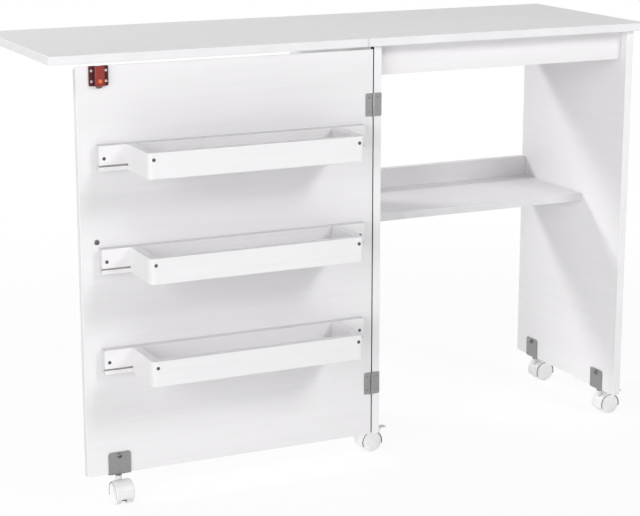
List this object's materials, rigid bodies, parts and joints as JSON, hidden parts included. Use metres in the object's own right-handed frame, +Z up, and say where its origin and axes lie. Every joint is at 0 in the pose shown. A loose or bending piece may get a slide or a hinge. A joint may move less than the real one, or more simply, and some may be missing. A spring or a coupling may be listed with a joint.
{
  "type": "folding sewing cutting table",
  "caption": "White drop-leaf cutting table on casters: a shelf cabinet with a fixed top, a folding leaf and a hinged door with trays that swings out to carry the leaf.",
  "frame": {"origin": "on the floor, below the middle of the box that holds the open table", "axes": "+X along the top towards the cabinet, +Y to the back, +Z up"},
  "size_m": [1.2068, 0.5, 0.797],
  "materials": {
    "top_melamine": "satin white melamine with a faint grain",
    "white_melamine": "satin white melamine",
    "strip_dark": "dark matt plastic",
    "birch": "plain wood",
    "dark_steel": "dark plated steel",
    "zinc_steel": "dull zinc plate",
    "knob_white": "smooth white plastic",
    "lock_maroon": "dark maroon plastic",
    "button_orange": "orange plastic",
    "caster_white": "smooth white nylon"
  },
  "bodies": {
    "cabinet": {"fixed_top": "top_melamine", "left_side_panel": "white_melamine", "door_gap_strip": "strip_dark", "right_side_panel": "white_melamine", "front_apron": "white_melamine", "rear_apron": "white_melamine", "shelf": "white_melamine", "shelf_back_rail": "white_melamine", "top_dowels": "birch", "cabinet_screws": "dark_steel", "cabinet_hardware_screws": "dark_steel", "cabinet_caster_brackets": "zinc_steel", "cabinet_caster_stems": "zinc_steel", "door_hinge_fixed_leaves": "zinc_steel", "leaf_hinge_fixed_plates": "zinc_steel", "hinge_pins": "zinc_steel"},
    "door": {"door_panel": "white_melamine", "door_knob": "knob_white", "knob_bolt": "dark_steel", "tray_screws": "dark_steel", "door_hardware_screws": "dark_steel", "door_caster_bracket": "zinc_steel", "door_caster_stem": "zinc_steel", "door_hinge_moving_leaves": "zinc_steel", "lock_housing": "lock_maroon", "lower_tray_back_rail": "white_melamine", "lower_tray_front_board": "white_melamine", "lower_tray_end_boards": "white_melamine", "lower_tray_bottom": "white_melamine", "middle_tray_back_rail": "white_melamine", "middle_tray_front_board": "white_melamine", "middle_tray_end_boards": "white_melamine", "middle_tray_bottom": "white_melamine", "upper_tray_back_rail": "white_melamine", "upper_tray_front_board": "white_melamine", "upper_tray_end_boards": "white_melamine", "upper_tray_bottom": "white_melamine"},
    "leaf": {"drop_leaf": "top_melamine", "leaf_hinge_moving_plates": "zinc_steel", "leaf_screws": "dark_steel", "lock_strike": "zinc_steel"},
    "lock_bolt": {"lock_bolt": "lock_maroon"},
    "lock_button": {"lock_button": "button_orange"},
    "left_front_swivel": {"left_front_caster_hood": "caster_white", "left_front_caster_axle": "zinc_steel"},
    "left_front_wheels": {"left_front_caster_wheels": "caster_white"},
    "left_front_brake": {"left_front_brake_lever": "caster_white"},
    "left_rear_swivel": {"left_rear_caster_hood": "caster_white", "left_rear_caster_axle": "zinc_steel"},
    "left_rear_wheels": {"left_rear_caster_wheels": "caster_white"},
    "right_front_swivel": {"right_front_caster_hood": "caster_white", "right_front_caster_axle": "zinc_steel"},
    "right_front_wheels": {"right_front_caster_wheels": "caster_white"},
    "right_front_brake": {"right_front_brake_lever": "caster_white"},
    "right_rear_swivel": {"right_rear_caster_hood": "caster_white", "right_rear_caster_axle": "zinc_steel"},
    "right_rear_wheels": {"right_rear_caster_wheels": "caster_white"},
    "door_swivel": {"door_caster_hood": "caster_white", "door_caster_axle": "zinc_steel"},
    "door_wheels": {"door_caster_wheels": "caster_white"}
  },
  "joints": [
    {"name": "door_swing", "type": "hinge", "parent": "cabinet", "child": "door", "pos_m": [0.00159, -0.1363, 0.4147], "axis": [0, 0, 1], "range_deg": [0, 180]},
    {"name": "leaf_fold", "type": "hinge", "parent": "cabinet", "child": "leaf", "pos_m": [-0.01293, 0.0505, 0.77895], "axis": [0, -1, 0], "range_deg": [0, 90]},
    {"name": "lock_bolt_slide", "type": "slide", "parent": "door", "child": "lock_bolt", "axis": [0, 0, 1], "range_m": [0, 0.011]},
    {"name": "lock_button_press", "type": "slide", "parent": "door", "child": "lock_button", "axis": [0, 1, 0], "range_m": [0, 0.0015], "stiffness_N_per_m": 800, "springref_m": -0.001},
    {"name": "left_front_swivel_turn", "type": "hinge", "parent": "cabinet", "child": "left_front_swivel", "pos_m": [0.01007, -0.073, 0.043], "axis": [0, 0, 1], "continuous": true},
    {"name": "left_front_wheels_roll", "type": "hinge", "parent": "left_front_swivel", "child": "left_front_wheels", "pos_m": [0.02607, -0.073, 0.02], "axis": [0, 1, 0], "continuous": true},
    {"name": "left_front_brake_press", "type": "hinge", "parent": "left_front_swivel", "child": "left_front_brake", "pos_m": [0.04445, -0.073, 0.03839], "axis": [0, 1, 0], "range_deg": [0, 18]},
    {"name": "left_rear_swivel_turn", "type": "hinge", "parent": "cabinet", "child": "left_rear_swivel", "pos_m": [0.01007, 0.174, 0.043], "axis": [0, 0, 1], "continuous": true},
    {"name": "left_rear_wheels_roll", "type": "hinge", "parent": "left_rear_swivel", "child": "left_rear_wheels", "pos_m": [0.02607, 0.174, 0.02], "axis": [0, 1, 0], "continuous": true},
    {"name": "right_front_swivel_turn", "type": "hinge", "parent": "cabinet", "child": "right_front_swivel", "pos_m": [0.55007, -0.073, 0.043], "axis": [0, 0, 1], "continuous": true},
    {"name": "right_front_wheels_roll", "type": "hinge", "parent": "right_front_swivel", "child": "right_front_wheels", "pos_m": [0.56607, -0.073, 0.02], "axis": [0, 1, 0], "continuous": true},
    {"name": "right_front_brake_press", "type": "hinge", "parent": "right_front_swivel", "child": "right_front_brake", "pos_m": [0.58445, -0.073, 0.03839], "axis": [0, 1, 0], "range_deg": [0, 18]},
    {"name": "right_rear_swivel_turn", "type": "hinge", "parent": "cabinet", "child": "right_rear_swivel", "pos_m": [0.55007, 0.174, 0.043], "axis": [0, 0, 1], "continuous": true},
    {"name": "right_rear_wheels_roll", "type": "hinge", "parent": "right_rear_swivel", "child": "right_rear_wheels", "pos_m": [0.56607, 0.174, 0.02], "axis": [0, 1, 0], "continuous": true},
    {"name": "door_swivel_turn", "type": "hinge", "parent": "door", "child": "door_swivel", "pos_m": [-0.49539, -0.1265, 0.043], "axis": [0, 0, 1], "continuous": true},
    {"name": "door_wheels_roll", "type": "hinge", "parent": "door_swivel", "child": "door_wheels", "pos_m": [-0.49539, -0.1425, 0.02], "axis": [1, 0, 0], "continuous": true}
  ],
  "couplings": [
    {"joint": "leaf_fold", "follows": "door_swing", "ratio": 0.5}
  ]
}
